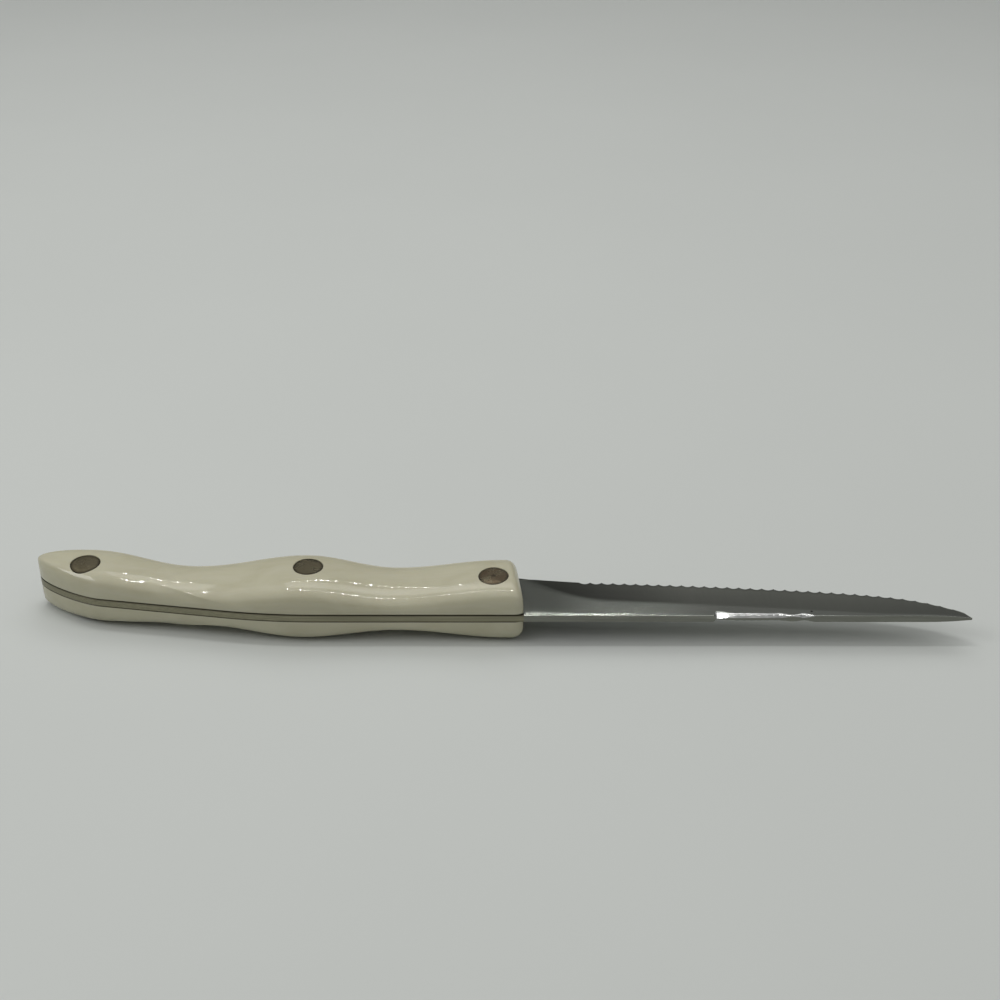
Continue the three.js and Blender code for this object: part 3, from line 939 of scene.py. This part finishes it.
rivet_metals = {
    "front": aged_rivet("front", AGED_SILVER, TARNISH_BROWN, tarnish_from=0.32, spot=0.8),
    "middle": aged_rivet("middle", AGED_SILVER, TARNISH_GREY, tarnish_from=0.45, spot=0),
    "rear": aged_rivet("rear", NICKEL_SILVER, TARNISH_GREY, tarnish_from=0.4, spot=0),
}
for rivet, metal in rivet_metals.items():
    seat = rivet_seat(rivet)
    end = SHANK_END_GAP - seat
    socket_shank = [
        (HEAD_DIAMETER / 2, seat),
        (SOCKET_DIAMETER / 2, seat),
        (SOCKET_DIAMETER / 2, end),
        (SOCKET_BORE_DIAMETER / 2, end),
        (SOCKET_BORE_DIAMETER / 2, seat),
    ]
    pin_shank = [
        (HEAD_DIAMETER / 2, seat),
        (PIN_DIAMETER / 2, seat),
        (PIN_DIAMETER / 2, end),
    ]
    for half, side, shank in (("socket", 1, socket_shank), ("pin", -1, pin_shank)):
        piece = rivet_half(rivet + "_dulled_" + half, rivet, side, shank)
        smooth(piece)
        piece.data.materials.append(metal)
        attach(piece, "root")
        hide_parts(rivet + "_rivet_" + half)


# Table
# A plain pale sheet of matt card under the knife, with the faintest unevenness of tone.
# It lies loose and the knife rests on it.
SHEET_SIZE = 12.0
SHEET_SEGMENTS = 8
SHEET_CLOUDS = (6, 6, 6)
SHEET_ROUGHNESS = 0.9
SHEET_SHEEN = 0.2
SHEET_PALE = swatch(200, 203, 199)
SHEET_SHADE = swatch(198, 201, 197)
sheet_form = bmesh.new()
bmesh.ops.create_grid(
    sheet_form, x_segments=SHEET_SEGMENTS, y_segments=SHEET_SEGMENTS, size=SHEET_SIZE / 2,
)
sheet = finished_object("pale_sheet", sheet_form)
sheet_finish, sheet_tree, sheet_shader = start_finish("pale_sheet")
sheet_grain = grain(sheet_tree, SHEET_CLOUDS, 3)
sheet_tone = shaded(sheet_tree, sheet_grain, [(NOISE_LOW, SHEET_SHADE), (NOISE_HIGH, SHEET_PALE)])
sheet_tree.links.new(sheet_tone, sheet_shader.inputs["Base Color"])
sheet_shader.inputs["Roughness"].default_value = SHEET_ROUGHNESS
sheet_shader.inputs["Specular IOR Level"].default_value = SHEET_SHEEN
sheet.data.materials.append(sheet_finish)


# Studio light
# A light tent: broad soft light from overhead, and dimmer ones from beyond the blade and
# from beside the butt.  Three rows of small bulbs draw beaded lines on the resin and the
# spine.  Places are metres, tilts are degrees.
def lamp(name, tilt, distance, side, length, width, share):
    """Lamp turned to the knife, tilt 0 overhead and positive beyond it; share of full light."""
    light = bpy.data.lights.new(name, "AREA")
    light.shape = "RECTANGLE"
    light.size = length
    light.size_y = width
    lean = math.radians(tilt)
    light.energy = share * (math.pi * distance) ** 2 / math.cos(lean)
    stand = bpy.data.objects.new(name, light)
    stand.location = (side, distance * math.sin(lean), distance * math.cos(lean))
    stand.rotation_euler = (-lean, 0, 0)
    bpy.context.scene.collection.objects.link(stand)


def bulb_row(name, distance, first, last, count, share):
    """Row of small bulbs from one (side, tilt) to another, with a share of full light in all."""
    for bulb in range(count):
        step = bulb / (count - 1)
        side = between(first[0], last[0], step)
        tilt = between(first[1], last[1], step)
        lamp(name + "_" + str(bulb + 1), tilt, distance, side, BULB_SIZE, BULB_SIZE, share / count)


BULB_SIZE = 0.009
lamp("overhead_soft_light", tilt=-8, distance=1.2, side=-0.2, length=3.2, width=2.2, share=0.66)
lamp("far_soft_light", tilt=31, distance=1.3, side=0.2, length=1.2, width=0.5, share=0.12)
lamp("left_soft_light", tilt=-20, distance=1.1, side=-1.2, length=0.9, width=0.7, share=0.5)
bulb_row("overhead_bulb", distance=0.9, first=(-0.3, 4), last=(0.2, 4), count=17, share=0.16)
bulb_row("left_bulb", distance=0.9, first=(-0.3, 8), last=(-0.3, 15), count=5, share=0.032)
bulb_row("far_bulb", distance=1.1, first=(-0.28, 43), last=(0.12, 50), count=13, share=0.025)

room = bpy.data.worlds.new("dim_room")
bpy.context.scene.world = room
room.use_nodes = True
room_tree = room.node_tree
room_places = room_tree.nodes.new("ShaderNodeTexCoord")
room_parts = room_tree.nodes.new("ShaderNodeSeparateXYZ")
room_tree.links.new(room_places.outputs["Generated"], room_parts.inputs["Vector"])
ROOM_LEVELS = [(0.0, 0.15), (0.2, 0.12), (0.35, 0.14), (0.52, 0.2), (1.0, 0.26)]
room_stops = [(height, (level, level, level, 1)) for height, level in ROOM_LEVELS]
room_tone = shaded(room_tree, room_parts.outputs["Z"], room_stops)
room_tree.links.new(room_tone, room_tree.nodes["Background"].inputs["Color"])


# Camera
# It stands on the spine's side, well above the table and pitched down, about 40 cm away.
CAMERA_PITCH = math.radians(30.5)
CAMERA_LENS = 54.0
CAMERA_SENSOR = 36.0
CAMERA_NEAREST = 0.01
CAMERA_ALONG = -6.3
CAMERA_LEVEL = -325.08
CAMERA_HEIGHT = 227.93
camera_data = bpy.data.cameras.new("camera")
camera_data.sensor_width = CAMERA_SENSOR
camera_data.lens = CAMERA_LENS
camera_data.clip_start = CAMERA_NEAREST
camera = bpy.data.objects.new("camera", camera_data)
camera.location = in_frame(CAMERA_ALONG, CAMERA_LEVEL, CAMERA_HEIGHT)
camera.rotation_euler = (math.pi / 2 - CAMERA_PITCH, 0, 0)
bpy.context.scene.collection.objects.link(camera)
bpy.context.scene.camera = camera
bpy.context.scene.view_settings.view_transform = "Standard"
